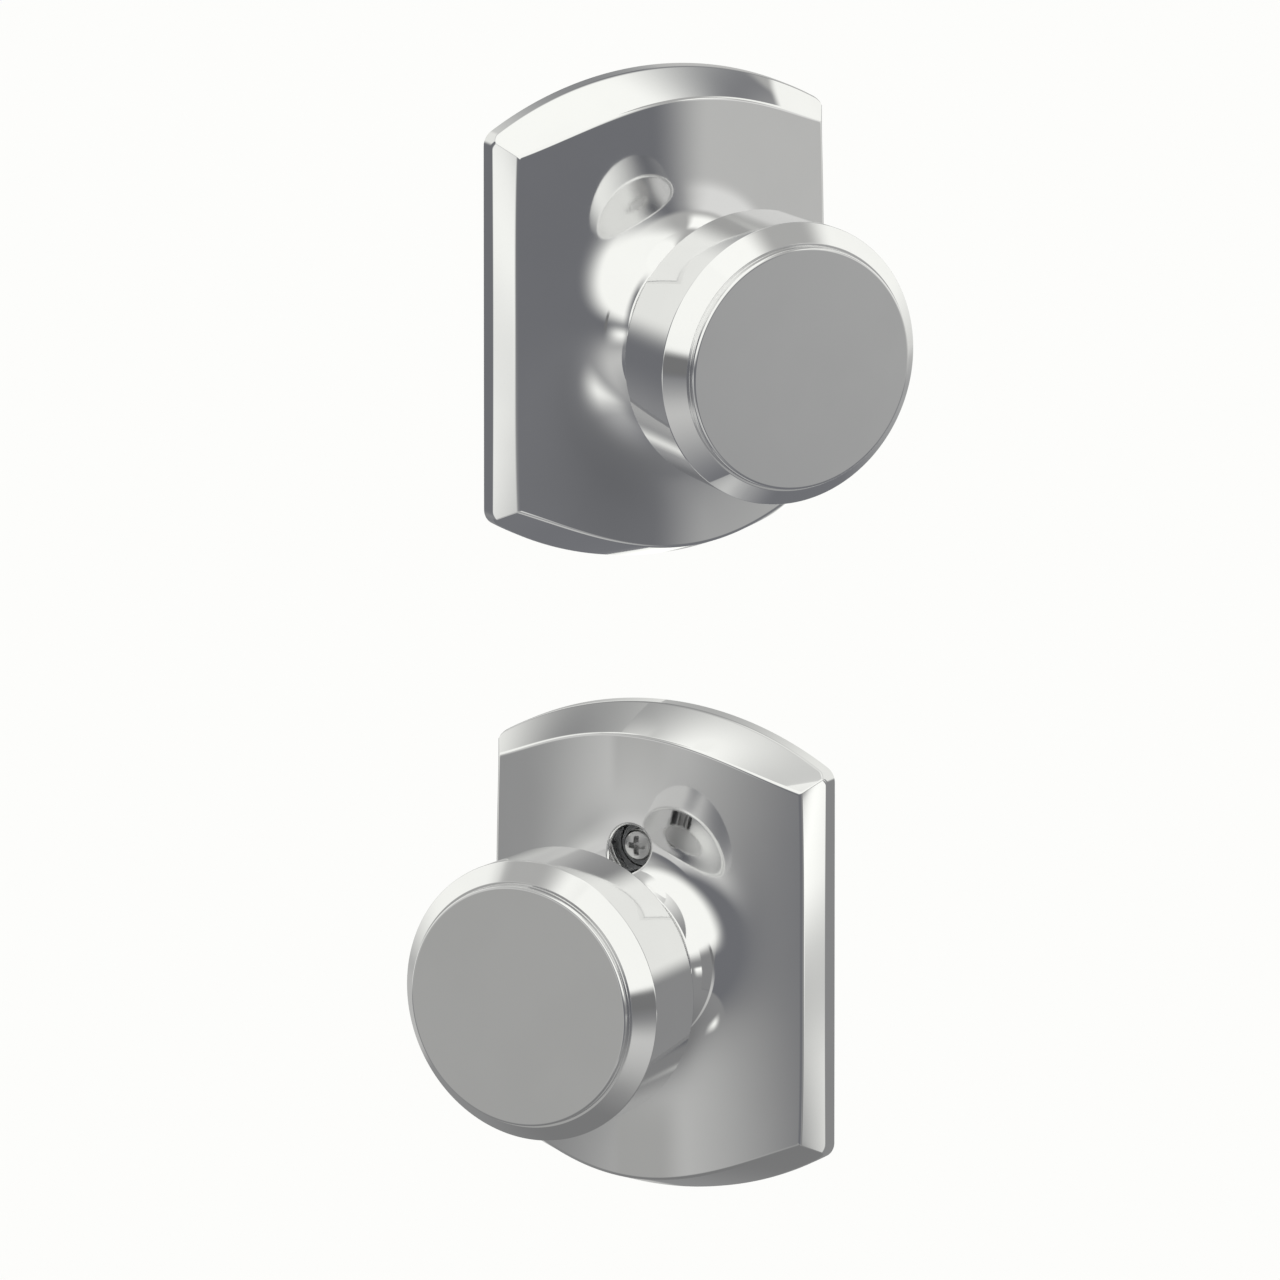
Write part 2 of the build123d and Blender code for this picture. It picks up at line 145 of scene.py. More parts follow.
# %% The wire class
class Wire:
    """One socket of a node tree, with sums written as plain Python."""

    def __init__(self, tree, socket=None):
        self.tree = tree
        self.socket = socket

    def node(self, kind, settings=None, sockets=None, output=0):
        """Add a node: settings first, then socket values or links; gives back one output."""
        made = self.tree.nodes.new(kind)
        for name, value in (settings or {}).items():
            setattr(made, name, value)
        for name, value in (sockets or {}).items():
            if isinstance(value, Wire):
                self.tree.links.new(value.socket, made.inputs[name])
            else:
                made.inputs[name].default_value = value
        return Wire(self.tree, made.outputs[output] if made.outputs else None)

    def maths(self, operation, first, second=0.0):
        return self.node("ShaderNodeMath", {"operation": operation}, {0: first, 1: second})

    def __add__(self, other):
        return self.maths("ADD", self, other)

    def __sub__(self, other):
        return self.maths("SUBTRACT", self, other)

    def __rsub__(self, other):
        return self.maths("SUBTRACT", other, self)

    def __mul__(self, other):
        return self.maths("MULTIPLY", self, other)

    __radd__ = __add__
    __rmul__ = __mul__

    def rise(self, start, end):
        """A soft step from 0 to 1 between two values."""
        return self.node(
            "ShaderNodeMapRange",
            {"interpolation_type": "SMOOTHSTEP"},
            {"Value": self, "From Min": start, "From Max": end},
        )

    def mix(self, low, high):
        """Blend two colours by this wire."""
        return self.node(
            "ShaderNodeMix", {"data_type": "RGBA"}, {0: self, 6: low, 7: high}, output=2
        )


def grey(level, blue=0.0):
    """A grey colour; blue pushes it cool, a minus number warm."""
    return (level * (1 - blue * 0.5), level, level * (1 + blue), 1.0)


def new_finish(name):
    """An empty material; gives back the material and a loose wire to build on."""
    finish = bpy.data.materials.new(name)
    finish.use_nodes = True
    finish.node_tree.nodes.clear()
    return finish, Wire(finish.node_tree)


def close_finish(wire, surface):
    """Send a shader to the material's output."""
    wire.node("ShaderNodeOutputMaterial", sockets={"Surface": surface})


print("shader maths ready")

# %% [markdown]
# Polished chrome
#
# The roses are zinc castings and the knobs turned brass, all buffed and plated to a mirror. A flat
# mirror looks like computer glass, so two faint things are added. Wide, shallow ripples are left by
# the buffing wheel and bend reflections a little. A thin bloom of handling makes the roughness drift
# by a hair. The wheel can't reach the flat behind the knob, so that stays satin, and its reflection
# in the rose is one soft pale shape.

# %% Polished chrome
CHROME_LEVEL = 0.85
BLOOM_SCALE = 60.0
BLOOM_LIFT = 1.02
BLOOM_ROUGHNESS = 0.015
RIPPLE_SCALE = 90.0
RIPPLE_DEPTH = 0.4 * MM


def noise(w, scale, detail):
    """Cloudy noise that sticks to the piece, in its own coordinates."""
    place = w.node("ShaderNodeTexCoord", output=3)
    return w.node("ShaderNodeTexNoise", sockets={"Vector": place, "Scale": scale, "Detail": detail})


def close_metal(w, colour, rough, relief, strength, depth):
    """Finish a metal's tree: colour, roughness, and a fine relief of the given depth."""
    bump = w.node(
        "ShaderNodeBump", sockets={"Height": relief, "Strength": strength, "Distance": depth}
    )
    shader = w.node(
        "ShaderNodeBsdfPrincipled",
        sockets={"Base Color": colour, "Metallic": 1.0, "Roughness": rough, "Normal": bump},
    )
    close_finish(w, shader)


def chrome_finish(name, rough):
    """Mirror or satin chrome with the wheel's ripples and a faint bloom."""
    finish, w = new_finish(name)
    bloom = noise(w, BLOOM_SCALE, 3.0).rise(0.35, 0.65)
    colour = bloom.mix(grey(CHROME_LEVEL), grey(CHROME_LEVEL * BLOOM_LIFT))
    ripple = noise(w, RIPPLE_SCALE, 1.0)
    close_metal(w, colour, rough + BLOOM_ROUGHNESS * bloom, ripple, 0.02, RIPPLE_DEPTH)
    return finish


polished_chrome = chrome_finish("polished_chrome_plate", 0.035)
satin_chrome = chrome_finish("satin_knob_back", 0.32)
print("made", polished_chrome.name, "and", satin_chrome.name)

# %% [markdown]
# The working metals
#
# Behind the roses nothing is buffed. Stamped plates are zinc plated with a soft satin sheen, turned
# parts are bright, die castings are dull and slightly grainy, and springs are dark drawn wire. They
# could each have a tree of nodes, but they differ only in a few amounts. So one recipe serves them
# all: two greys in soft clouds, a fine grain, and how far the grain roughens and dents the metal.

# %% Working metals
CLOUD_SCALE = 140.0
GRAIN_DEPTH = 0.1 * MM


def working_metal(name, low, high, rough, grain, grain_scale, relief):
    """A metal that nobody buffs, from its darker and its lighter colour."""
    finish, w = new_finish(name)
    colour = noise(w, CLOUD_SCALE, 4.0).rise(0.3, 0.7).mix(low, high)
    fine = noise(w, grain_scale, 5.0)
    close_metal(w, colour, rough + grain * fine, fine, relief, GRAIN_DEPTH)
    return finish


FINISH_OF_SLOT = {
    "polished_chrome": polished_chrome,
    "zinc_plated_steel": working_metal(
        "zinc_plated_satin", grey(0.55, 0.04), grey(0.61, 0.03),
        rough=0.24, grain=0.16, grain_scale=900.0, relief=0.25,
    ),
    "bright_steel": working_metal(
        "bright_turned_steel", grey(0.56), grey(0.62),
        rough=0.14, grain=0.12, grain_scale=1400.0, relief=0.2,
    ),
    "spring_steel": working_metal(
        "dark_spring_wire", grey(0.20, 0.06), grey(0.27, 0.03),
        rough=0.22, grain=0.2, grain_scale=1600.0, relief=0.3,
    ),
    "screw_steel": working_metal(
        "bright_screw_plate", grey(0.62), grey(0.72),
        rough=0.26, grain=0.14, grain_scale=1500.0, relief=0.2,
    ),
    "cast_zinc": working_metal(
        "dull_cast_zinc", grey(0.38, 0.03), grey(0.48, 0.02),
        rough=0.36, grain=0.2, grain_scale=700.0, relief=0.5,
    ),
    "bearing_brass": working_metal(
        "turned_brass", (0.62, 0.43, 0.16, 1.0), (0.74, 0.54, 0.23, 1.0),
        rough=0.18, grain=0.14, grain_scale=1300.0, relief=0.2,
    ),
}
# The recess floor is rough and unpolished; its grey, darker than the cast zinc, is painted shade.
recess_painted_shade = working_metal(
    "rough_recess_painted_shade", grey(0.24, 0.04), grey(0.30, 0.03),
    rough=0.34, grain=0.15, grain_scale=700.0, relief=0.3,
)
print("working metals:", len(FINISH_OF_SLOT) - 1)

# %% [markdown]
# Finishes on the hidden parts
#
# Plates, springs, bushes and drivers are already right in the CAD frame, and only their metal is
# missing. Each node's record names a slot, such as spring steel, so a loop can hand out the finishes.
# Pieces that are modelled anew below get theirs when they are made.

# %% Finishes on the CAD nodes
slot_of_node = {row["node"]: row["material_slot"] for row in frame["record"]["subparts"]}
for name, node in frame["nodes"].items():
    finish = FINISH_OF_SLOT[slot_of_node[name]]
    if not node.material_slots:
        node.data.materials.append(finish)
    for place in node.material_slots:
        place.material = finish
print("nodes finished:", len(slot_of_node))

# %% [markdown]
# The shape of the rose's face
#
# The rose is one casting: a straight edge, a sloping bevel all round, and a face crowned about the
# upright axis, out of which the collar grows like a trumpet. A mirror shows every kink in such a
# surface, so the face is written as one smooth height above the door. It adds three forms: the crown,
# a wide low dome, and the trumpet, which fades outward and so has no visible start.

# %% Rose heights in millimetres
HALF_WIDTH = 33.35
CORNER_UP = 34.55
APEX_UP = 44.0
CORNER_ROUND = 3.0
EDGE_DEPTH = 3.0
WALL = 1.5
BEVEL_TOP = 15.5
UPPER_HALF_WIDTH = 26.14
UPPER_SIDE_MIDDLE = 27.70
UPPER_CORNER_UP = 28.20
UPPER_APEX_UP = 39.91
CREST = 13.7
CROWN_RADIUS = 82.3
TRUMPET_HEIGHT = 6.5
TRUMPET_FADE = 3.2
DOME_HEIGHT = 1.7
DOME_REACH = 47.6
DOME_POWER = 1.6
LIP_RISE = 1.6
LIP_FADE = 0.8
COLLAR_TOP = 19.7
BORE = 14.2
STEP = 0.01
TINY = 1e-3


def face_height(x, y):
    """Height of the crowned, flared face above the door."""
    out = sqrt(x * x + y * y)
    crown = CREST - CROWN_RADIUS + sqrt(CROWN_RADIUS**2 - x * x)
    trumpet = TRUMPET_HEIGHT * exp(-(out - BORE) / TRUMPET_FADE)
    trumpet += LIP_RISE * exp(-(out - BORE) / LIP_FADE)
    dome = DOME_HEIGHT * max(0.0, 1 - out / DOME_REACH) ** DOME_POWER
    return crown + trumpet + dome


def height_normal(height, x, y):
    """Upward normal of a height function, from small steps to either side."""
    along = (height(x + STEP, y) - height(x - STEP, y)) / (2 * STEP)
    across = (height(x, y + STEP) - height(x, y - STEP)) / (2 * STEP)
    return Vector((-along, -across, 1.0)).normalized()


def search(inside, low, high, rounds=40):
    """The value between low and high where a yes-no question changes its answer."""
    for _ in range(rounds):
        middle = (low + high) / 2
        if inside(middle):
            low = middle
        else:
            high = middle
    return (low + high) / 2


print("face near its upper edge:", round(face_height(0.0, UPPER_APEX_UP), 2), "mm above the door")

# %% [markdown]
# The bevel and its mitres
#
# Each bevel is a ruled surface: straight lines run from the outline up to a smaller curve above, and
# the crowned face cuts them off. So the mesh is laid out as columns, one on each of these lines, which
# go on over the face to the collar. Every hard edge is a narrow strip whose two sides carry the
# normals of the surfaces they touch. Light then rolls over it as over a buffed edge.

# %% Ruled lines of the bevel
EDGE_STRIP = 0.5
NEAR_CORNER = (0.22, 0.5, 0.8, 1.15, 1.5, 1.9, 2.6, 3.6)


def arc_point(half_chord, end, apex, t):
    """Point on the arc from t = -1 to 1 that ends at (half_chord, end) and peaks at (0, apex)."""
    rise = apex - end
    radius = (half_chord**2 + rise**2) / (2 * rise)
    angle = asin(half_chord / radius) * t
    return radius * sin(angle), apex - radius + radius * cos(angle)


def side_line(t):
    """Bevel line of the right side, from bottom to top: outline point and upper point."""
    across, out = arc_point(UPPER_CORNER_UP, UPPER_HALF_WIDTH, UPPER_SIDE_MIDDLE, t)
    return Vector((HALF_WIDTH, CORNER_UP * t, EDGE_DEPTH)), Vector((out, across, BEVEL_TOP))


def arch_line(t):
    """Bevel line of the top arch, from right to left."""
    x0, y0 = arc_point(HALF_WIDTH, CORNER_UP, APEX_UP, -t)
    x1, y1 = arc_point(UPPER_HALF_WIDTH, UPPER_CORNER_UP, UPPER_APEX_UP, -t)
    return Vector((x0, y0, EDGE_DEPTH)), Vector((x1, y1, BEVEL_TOP))


ARCH_RADIUS = (HALF_WIDTH**2 + (APEX_UP - CORNER_UP) ** 2) / (2 * (APEX_UP - CORNER_UP))
ARCH_MIDDLE = APEX_UP - ARCH_RADIUS
ROUND_X = HALF_WIDTH - CORNER_ROUND
ROUND_Y = ARCH_MIDDLE + sqrt((ARCH_RADIUS - CORNER_ROUND) ** 2 - ROUND_X**2)


def outline_start(foot, top):
    """Where a bevel line starts on the outline with rounded corners, and the outward direction."""
    corner = Vector((ROUND_X, copysign(ROUND_Y, foot.y), 0.0))
    past_corner = abs(foot.y) > ROUND_Y and abs(foot.x) > ROUND_X * ARCH_RADIUS / (
        ARCH_RADIUS - CORNER_ROUND
    )
    corner.x = copysign(corner.x, foot.x)
    if not past_corner:
        if abs(abs(foot.x) - HALF_WIDTH) < TINY:
            return 0.0, Vector((copysign(1.0, foot.x), 0.0, 0.0))
        out = Vector((foot.x, foot.y - copysign(1.0, foot.y) * ARCH_MIDDLE, 0.0))
        return 0.0, out.normalized()

    def outside_round(share):
        spot = foot.lerp(top, share)
        return sqrt((spot.x - corner.x) ** 2 + (spot.y - corner.y) ** 2) > CORNER_ROUND

    share = search(outside_round, 0.0, 0.4)
    spot = foot.lerp(top, share)
    return share, Vector((spot.x - corner.x, spot.y - corner.y, 0.0)).normalized()


def stations(length, even_steps):
    """Places from -1 to 1 along one side of the outline, closer together near its corners."""
    ends = [1 - 2 * d / length for d in NEAR_CORNER]
    limit = ends[-1]
    middle = [limit * (2 * k / even_steps - 1) for k in range(1, even_steps)]
    return [-e for e in ends] + middle + ends[::-1]


print("outline corner round at", round(ROUND_X, 2), round(ROUND_Y, 2))

# %% [markdown]
# One column of the rose
#
# A column is one cut through the casting: up the wall, over bevel and face, down the collar's bore and
# back along the hollow side. One cut swept round by a modifier would do for a plain plate. Here the
# bevel leans differently at every place, so each column is worked out for its own ruled line.

# %% Skins of the rose
INNER_GAP = 0.4


def spoke(angle):
    """The direction at an angle in the plane of the door."""
    return Vector((cos(angle), sin(angle), 0.0))


def at(spot, height):
    """The point above a spot at a height."""
    return Vector((spot.x, spot.y, height))


def top_skin(x, y):
    """Point and normal of the rose's face."""
    return Vector((x, y, face_height(x, y))), height_normal(face_height, x, y)


def inner_skin(x, y):
    """Point and normal of the hollow side."""
    ceiling = min(face_height(x, y), COLLAR_TOP) - WALL - INNER_GAP
    return Vector((x, y, ceiling)), DOWN


print("wall behind the face:", WALL + INNER_GAP, "mm")

# %% Rows of one column
WALL_ROWS = 4
BEVEL_ROWS = 4
FACE_ROWS = 14
TRUMPET_ROWS = 26
TRUMPET_START = 27.0
INNER_RADII = (15.2, 16.5, 18.0, 20.0, 23.0, 27.0)
FOOT_EASE = 0.1
RIM_EASE = 0.2
BORE_EASE = 0.25
BORE_DEPTH = 2.0
HOLLOW_EDGE = 1.5
HOLLOW_TOP = 2.6


def wall_and_bevel(line, t):
    """Rows of the wall and the bevel, the bevel's upper edge, the wall's inside and the way out."""
    foot, top = line(t)
    before, after = line(t - TINY), line(t + TINY)

    def bevel_normal(share):
        along = after[0].lerp(after[1], share) - before[0].lerp(before[1], share)
        return along.cross(top - foot).normalized()

    start_share, out = outline_start(foot, top)
    end_share = search(
        lambda share: foot.lerp(top, share).z < face_height(*foot.lerp(top, share).xy), 0.0, 1.0
    )
    wall_top = foot.lerp(top, start_share)
    inner = wall_top - out * WALL
    rows = [
        (at(inner + out * FOOT_EASE, 0.0), DOWN),
        (at(wall_top - out * RIM_EASE, 0.0), DOWN),
        (at(wall_top, RIM_EASE), out),
        (at(wall_top, wall_top.z - EDGE_STRIP), out),
    ]
    step = EDGE_STRIP / (top - foot).length
    low, high = start_share + step, end_share - step
    for k in range(BEVEL_ROWS):
        share = low + (high - low) * k / (BEVEL_ROWS - 1)
        rows.append((foot.lerp(top, share), bevel_normal(share)))
    return rows, foot.lerp(top, end_share), inner, out


def rose_column(line, t):
    """Points and normals of one column."""
    rows, edge, inner, out = wall_and_bevel(line, t)
    angle = atan2(edge.y, edge.x)
    ray = spoke(angle)
    reach = edge.xy.length - EDGE_STRIP
    lip = search(lambda r: face_height(*(ray * r).xy) > COLLAR_TOP, BORE, TRUMPET_START)

    def lay(skin, radius):
        spot = ray * radius
        rows.append(skin(spot.x, spot.y))

    for k in range(FACE_ROWS):
        lay(top_skin, reach + (TRUMPET_START - reach) * k / FACE_ROWS)
    for k in range(TRUMPET_ROWS + 1):
        lay(top_skin, TRUMPET_START + (lip + RIM_EASE - TRUMPET_START) * k / TRUMPET_ROWS)
    rows += [
        (at(ray * (lip - RIM_EASE), COLLAR_TOP), UP),
        (at(ray * (BORE + BORE_EASE), COLLAR_TOP), UP),
        (at(ray * BORE, COLLAR_TOP - BORE_EASE), -ray),
        (at(ray * BORE, COLLAR_TOP - BORE_DEPTH), -ray),
    ]
    for radius in INNER_RADII + (reach - HOLLOW_EDGE,):
        lay(inner_skin, radius)
    rows += [(at(inner, HOLLOW_TOP), -out), (at(inner, FOOT_EASE), -out)]
    return rows


print("rows over the face and trumpet:", FACE_ROWS + TRUMPET_ROWS + 1)

# %% All columns
SIDE_STEPS = 44
ARCH_STEPS = 52


def rose_columns():
    """All columns in turn: right side, top arch, then the same two turned half round."""
    side_steps = stations(2 * CORNER_UP, SIDE_STEPS)
    arch_steps = stations(2 * asin(HALF_WIDTH / ARCH_RADIUS) * ARCH_RADIUS, ARCH_STEPS)
    quarter = [rose_column(side_line, t) for t in side_steps]
    quarter += [rose_column(arch_line, t) for t in arch_steps]
    turned = [
        [(Vector((-p.x, -p.y, p.z)), Vector((-n.x, -n.y, n.z))) for p, n in column]
        for column in quarter
    ]
    return quarter + turned


COLUMNS = rose_columns()
ROSE_ROWS = len(COLUMNS[0])
FIRST_FACE_ROW = WALL_ROWS + BEVEL_ROWS
TOP_ROWS = range(FIRST_FACE_ROW, FIRST_FACE_ROW + FACE_ROWS + TRUMPET_ROWS + 3)
INNER_ROWS = range(ROSE_ROWS - 3 - len(INNER_RADII), ROSE_ROWS - 2)
print("rose columns", len(COLUMNS), "rows", ROSE_ROWS)

# %% [markdown]
# Profiles with round corners
#
# A lathe leaves a small round on every corner. A bevel modifier would add it afterwards, all at one
# size. Here each corner names its own round, and its points come with exact normals.

# %% Rounded profiles
def rounded_profile(corners, steps=4):
    """Turn corners (radius, height, round) into points with outward normals."""
    points = []
    last = len(corners) - 1
    for k, (r, z, fillet) in enumerate(corners):
        here = Vector((r, z))
        back = (Vector(corners[k - 1][:2]) - here).normalized() if k else None
        ahead = (Vector(corners[k + 1][:2]) - here).normalized() if k < last else None
        normal_in = Vector((back.y, -back.x)) if back else Vector((-ahead.y, ahead.x))
        normal_out = Vector((-ahead.y, ahead.x)) if ahead else normal_in
        if fillet == 0.0 or not back or not ahead:
            points.append((here, normal_in))
            continue
        half_angle = back.angle(ahead) / 2
        start = here + back * fillet / tan(half_angle)
        centre = here + (back + ahead).normalized() * fillet / sin(half_angle)
        side = 1.0 if (start - centre).dot(normal_in) > 0 else -1.0
        for j in range(steps + 1):
            n = normal_in.slerp(normal_out, j / steps)
            points.append((centre + n * fillet * side, n))
    return points


print("one rounded corner has", len(rounded_profile([(0, 0, 0), (1, 0, 0.1), (1, 1, 0)])) - 2, "points")

# %% [markdown]
# A piece as one growing heap of points
#
# Most pieces here are rows of points joined by faces, with a few turned details added, so a small class
# holds the points, their normals and the faces. It can carry a profile round an axis and open a round
# hole in a skin. A boolean cut would leave ragged shading round a hole, so the faces near it are lifted
# out and the gap is filled with triangles that meet an exact circle, as neat as if it had been drilled.

# %% The heap of points
ON_AXIS = 1e-6
WELD = 1e-6


class Heap:
    """Points, normals and faces of one piece, in the half's millimetres."""

    def __init__(self):
        self.points = []
        self.normals = []
        self.faces = []
        self.second = set()
        self.second_finish = None

    def add(self, point, normal):
        self.points.append(point)
        self.normals.append(normal)
        return len(self.points) - 1

    def ring_pair(self, first, second):
        """Join two rings of equal length; the second lies inward or below the first."""
        count = len(first)
        for k in range(count):
            j = (k + 1) % count
            self.faces.append((first[k], first[j], second[j], second[k]))

    def turned(self, corners, x=0.0, y=0.0, steps=48, closed=False, fine=4):
        """Carry a profile round an axis along z; a radius of 0 makes a single middle point."""
        profile = rounded_profile(corners, fine)
        if closed:
            profile = profile[:-1]
        rings = []
        for spot, normal in profile:
            if spot.x < ON_AXIS:
                rings.append([self.add(Vector((x, y, spot.y)), UP * normal.y)])
                continue
            ring = []
            for k in range(steps):
                angle = -2 * pi * k / steps
                ray = spoke(angle)
                point = Vector((x, y, spot.y)) + ray * spot.x
                ring.append(self.add(point, ray * normal.x + UP * normal.y))
            rings.append(ring)
        pairs = list(zip(rings, rings[1:]))
        if closed:
            pairs.append((rings[-1], rings[0]))
        for first, second in pairs:
            if len(first) == 1:
                count = len(second)
                self.faces += [(first[0], second[(k + 1) % count], second[k]) for k in range(count)]
            elif len(second) == 1:
                count = len(first)
                self.faces += [(first[k], first[(k + 1) % count], second[0]) for k in range(count)]
            else:
                self.ring_pair(first, second)
        return rings

    def open_hole(self, skin, flat, skin_at, centre, radius, reach, steps=64, facing=1):
        """Clear a skin's faces near a centre and fill up to a circle; gives back its ring."""
        middle = Vector(centre)

        def near(face):
            return all(v in skin for v in face) and any(
                (flat(self.points[v]) - middle).length < reach for v in face
            )

        cut = [face for face in self.faces if near(face)]
        gone = set(cut)
        self.faces = [face for face in self.faces if face not in gone]
        sides = {}
        for face in cut:
            for a, b in zip(face, face[1:] + face[:1]):
                sides[(a, b)] = face
        border = [(a, b) for a, b in sides if (b, a) not in sides]
        rim = sorted({v for pair in border for v in pair})
        place = {v: k for k, v in enumerate(rim)}
        ring = []
        for k in range(steps):
            angle = 2 * pi * k / steps
            spot = middle + Vector((cos(angle), sin(angle))) * radius
            ring.append(self.add(*skin_at(spot.x, spot.y)))
        known = rim + ring
        first_ring = len(rim)
        edges = [(place[a], place[b]) for a, b in border]
        edges += [(first_ring + k, first_ring + (k + 1) % steps) for k in range(steps)]
        filled = delaunay_2d_cdt([flat(self.points[v]) for v in known], edges, [], 1, WELD)
        spots, triangles, sources = filled[0], filled[2], filled[3]
        number = []
        for spot, source in zip(spots, sources):
            number.append(known[source[0]] if source else self.add(*skin_at(spot.x, spot.y)))
        for triangle in triangles:
            corner = [spots[v] for v in triangle]
            inside = sum(corner, Vector((0.0, 0.0))) / len(corner)
            if (inside - middle).length < radius * cos(pi / steps):
                continue
            turn = (corner[1] - corner[0]).cross(corner[2] - corner[0])
            order = triangle if turn * facing > 0 else triangle[::-1]
            self.faces.append(tuple(number[v] for v in order))
        return ring

    def place(self, name, side, finish, slot, body, *stands_for):
        mesh = bpy.data.meshes.new(name)
        turn = PLACE[side].to_3x3()
        mesh.from_pydata([PLACE[side] @ (p * MM) for p in self.points], [], self.faces)
        mesh.materials.append(finish)
        if self.second:
            mesh.materials.append(self.second_finish)
        for face in mesh.polygons:
            face.use_smooth = True
            if self.second.issuperset(face.vertices):
                face.material_index = 1
        mesh.normals_split_custom_set_from_vertices([(turn @ n).normalized() for n in self.normals])
        piece = put(name, mesh)
        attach(piece, body)
        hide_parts(*stands_for)
        made_for[side].append(piece)
        print(name, "faces", len(mesh.polygons))
        return piece


made_for = {side: [] for side in SIDES}
print("heap ready")

# %% [markdown]
# The rose castings
#
# Four pegs are cast on the back of each rose and peened over the plate behind. The inside rose also has
# two deep recesses for the screws. Only the upper one shows, half hidden behind the knob, but its
# polished mouth makes a bright ring, so both get a rounded mouth, a floor and a clearance hole. The
# floor and the hole are rough and unpolished, and their dark grey is painted shade of the deep recess.

# %% Pegs and recesses
PEG_X, PEG_Y = 22.0, 24.0
PEG = [
    (0.0, 0.3, 0.0), (1.85, 0.3, 0.0), (2.3, 0.75, 0.08), (2.3, 1.2, 0.08), (1.5, 1.2, 0.08),
    (1.5, 2.7, 0.08), (2.6, 2.7, 0.1), (2.6, 9.4, 0.0), (0.0, 9.4, 0.0),
]
FIXING_UP = 20.0
RECESS_STEPS = 64
RECESS_RADIUS = 4.1
RECESS_FLOOR = 10.3
FLOOR_ROUND = 0.3
RECESS_MOUTH = 0.6
MOUTH_REACH = 5.1
SCREW_HOLE = 2.1
HOLE_EASE = 0.1
BOSS_RADIUS = 5.5
BOSS_BACK = 8.8
BOSS_ROUND = 0.2
BOSS_REACH = 6.1


def top_at_hole(x, y):
    """The face, or the collar's flat lip where the face would stand above it."""
    point, normal = top_skin(x, y)
    if point.z > COLLAR_TOP:
        return Vector((x, y, COLLAR_TOP)), UP
    return point, normal


def add_recess(heap, up, top, inner):
    """Open one screw recess: mouth, wall, floor, clearance hole and the boss behind."""
    def flat(point):
        return point.xy

    steps = RECESS_STEPS
    centre = (0.0, up)
    mouth_radius = RECESS_RADIUS + RECESS_MOUTH
    mouth = heap.open_hole(top, flat, top_at_hole, centre, mouth_radius, MOUTH_REACH, steps)
    under = heap.open_hole(
        inner, flat, inner_skin, centre, BOSS_RADIUS, BOSS_REACH, steps, facing=-1
    )
    rays = [spoke(2 * pi * k / steps) for k in range(steps)]

    def ring(radius, height, normal):
        return [
            heap.add(
                Vector((0.0, up, height(k) if callable(height) else height)) + ray * radius,
                normal(ray),
            )
            for k, ray in enumerate(rays)
        ]

    rim_height = [heap.points[v].z for v in mouth]
    rows = [mouth]
    for turn in (30, 60, 90):
        lean, sink = cos(radians(turn)), sin(radians(turn))
        rows.append(ring(
            RECESS_RADIUS + RECESS_MOUTH * (1 - sink),
            lambda k, lean=lean: rim_height[k] - RECESS_MOUTH * (1 - lean),
            lambda ray, lean=lean, sink=sink: -ray * sink + UP * lean,
        ))
    rows += [
        ring(RECESS_RADIUS, RECESS_FLOOR + FLOOR_ROUND, lambda ray: -ray),
        ring(RECESS_RADIUS - FLOOR_ROUND, RECESS_FLOOR, lambda ray: UP),
        ring(SCREW_HOLE + HOLE_EASE, RECESS_FLOOR, lambda ray: UP),
        ring(SCREW_HOLE, RECESS_FLOOR - HOLE_EASE, lambda ray: -ray),
        ring(SCREW_HOLE, BOSS_BACK + HOLE_EASE, lambda ray: -ray),
        ring(SCREW_HOLE + HOLE_EASE, BOSS_BACK, lambda ray: DOWN),
        ring(BOSS_RADIUS - BOSS_ROUND, BOSS_BACK, lambda ray: DOWN),
        ring(BOSS_RADIUS, BOSS_BACK + BOSS_ROUND, lambda ray: ray),
        under,
    ]
    for first, second in zip(rows, rows[1:]):
        heap.ring_pair(first, second)
    # Floor, hole and boss take the dark finish: rough and unpolished, with painted shade in its grey.
    heap.second.update(v for row in rows[4:-1] for v in row)
    heap.second_finish = recess_painted_shade


def rose_piece(side):
    """Join the columns into one casting, with its pegs and, inside, its recesses."""
    heap = Heap()
    for column in COLUMNS:
        for point, normal in column:
            heap.add(point, normal)
    count = len(COLUMNS)
    for c in range(count):
        for r in range(ROSE_ROWS):
            d, q = (c + 1) % count, (r + 1) % ROSE_ROWS
            heap.faces.append((
                c * ROSE_ROWS + r, d * ROSE_ROWS + r, d * ROSE_ROWS + q, c * ROSE_ROWS + q
            ))
    if side == "inside":
        top = {c * ROSE_ROWS + r for c in range(count) for r in TOP_ROWS}
        inner = {c * ROSE_ROWS + r for c in range(count) for r in INNER_ROWS}
        for up in (FIXING_UP, -FIXING_UP):
            add_recess(heap, up, top, inner)
    for x in (PEG_X, -PEG_X):
        for y in (PEG_Y, -PEG_Y):
            heap.turned(PEG[::-1], x, y, 32)
    heap.place(
        side + "_rose_casting", side, polished_chrome, "polished_chrome", "set_body", side + "_rose"
    )


rose_piece("outside")
rose_piece("inside")

# %% [markdown]
# The knobs
#
# A knob is turned brass in two parts: a front with a raised disc, a step and a wide chamfer, and a back
# with the neck drawn out of it. Each is one profile carried round the axis. Its corners carry a small
# round, since a real lathe and buffing wheel leave one and it catches the thin bright rings that the
# eye takes for crisp machining.

